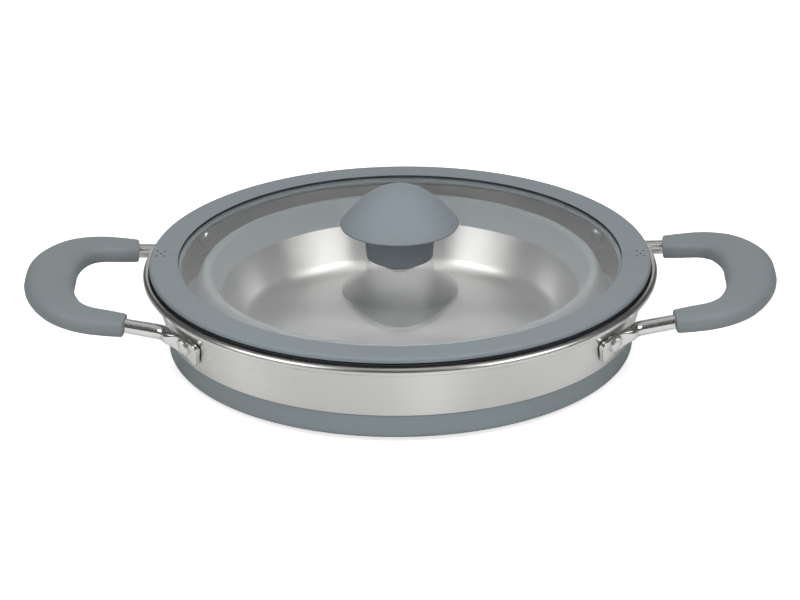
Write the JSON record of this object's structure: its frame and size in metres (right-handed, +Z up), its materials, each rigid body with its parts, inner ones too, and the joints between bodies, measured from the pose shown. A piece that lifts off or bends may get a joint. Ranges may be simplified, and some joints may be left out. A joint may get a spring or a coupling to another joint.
{
  "type": "collapsible cooking pot",
  "caption": "Round cooking pot with a folding silicone wall, a steel base and rim, loop handles with soft grips, and a glass lid with a silicone edge and a mushroom knob.",
  "frame": {"origin": "centre of the underside, where the pot stands", "axes": "+Z up along the pot's axis, +X through the right handle, -Y towards the front"},
  "size_m": [0.3616, 0.247, 0.0821],
  "materials": {
    "pan_steel": "circular brushed inside",
    "band_steel": "fine satin",
    "rod_steel": "polished stainless",
    "fixing_steel": "plain",
    "core_aluminium": "plain",
    "wall_silicone": "smooth satin",
    "grip_silicone": "fine matt",
    "seal_silicone": "fine matt",
    "knob_silicone": "fine matt",
    "lid_glass": "clear tempered",
    "insert_brass": "knurled"
  },
  "bodies": {
    "base": {"base_pan": "pan_steel", "heat_spreader": "core_aluminium", "base_cap": "pan_steel", "wall_lower": "wall_silicone", "pan_clamp_ring": "fixing_steel", "wall_fold": "wall_silicone"},
    "rim": {"rim_band": "band_steel", "rim_clamp_ring": "fixing_steel", "wall_upper": "wall_silicone", "handle_wire_left": "rod_steel", "handle_wire_right": "rod_steel", "handle_grip_left": "grip_silicone", "handle_grip_right": "grip_silicone", "handle_rivets": "fixing_steel", "rivet_washers": "fixing_steel"},
    "lid": {"lid_glass": "lid_glass", "lid_seal": "seal_silicone", "knob_cap": "knob_silicone", "knob_collar": "knob_silicone", "knob_insert": "insert_brass", "knob_screw": "fixing_steel", "knob_screw_washer": "fixing_steel", "knob_gasket": "wall_silicone", "under_gasket": "wall_silicone"}
  },
  "joints": [
    {"name": "wall_extension", "type": "slide", "parent": "base", "child": "rim", "axis": [0, 0, 1], "range_m": [0, 0.067], "deforming": ["wall_fold"]},
    {"name": "lid_lift", "type": "slide", "parent": "rim", "child": "lid", "axis": [0, 0, 1], "range_m": [0, 0.08]}
  ]
}
